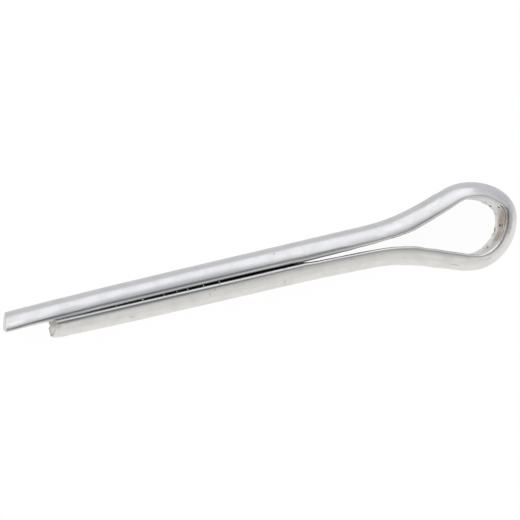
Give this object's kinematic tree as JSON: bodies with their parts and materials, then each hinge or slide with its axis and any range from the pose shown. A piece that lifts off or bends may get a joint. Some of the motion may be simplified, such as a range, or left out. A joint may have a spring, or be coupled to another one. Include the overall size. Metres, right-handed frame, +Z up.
{
  "type": "cotter pin",
  "caption": "Cotter pin of half-round steel wire folded on itself, with a teardrop eye, a closed straight shank and one prong longer than the other.",
  "frame": {"origin": "on the shank's axis at the neck, where the short side starts to swell into the eye", "axes": "+X along the shank towards the eye, +Y from the short prong to the long prong, +Z up out of the plane the wire is folded in; the pin lies on its side"},
  "size_m": [0.0385, 0.0065, 0.0028],
  "materials": {
    "wire_steel": "semi-bright drawn wire, lightly scratched, with brown rust specks at the eye and on the sheared ends"
  },
  "bodies": {
    "root": {"cotter_pin": "wire_steel"}
  },
  "joints": []
}
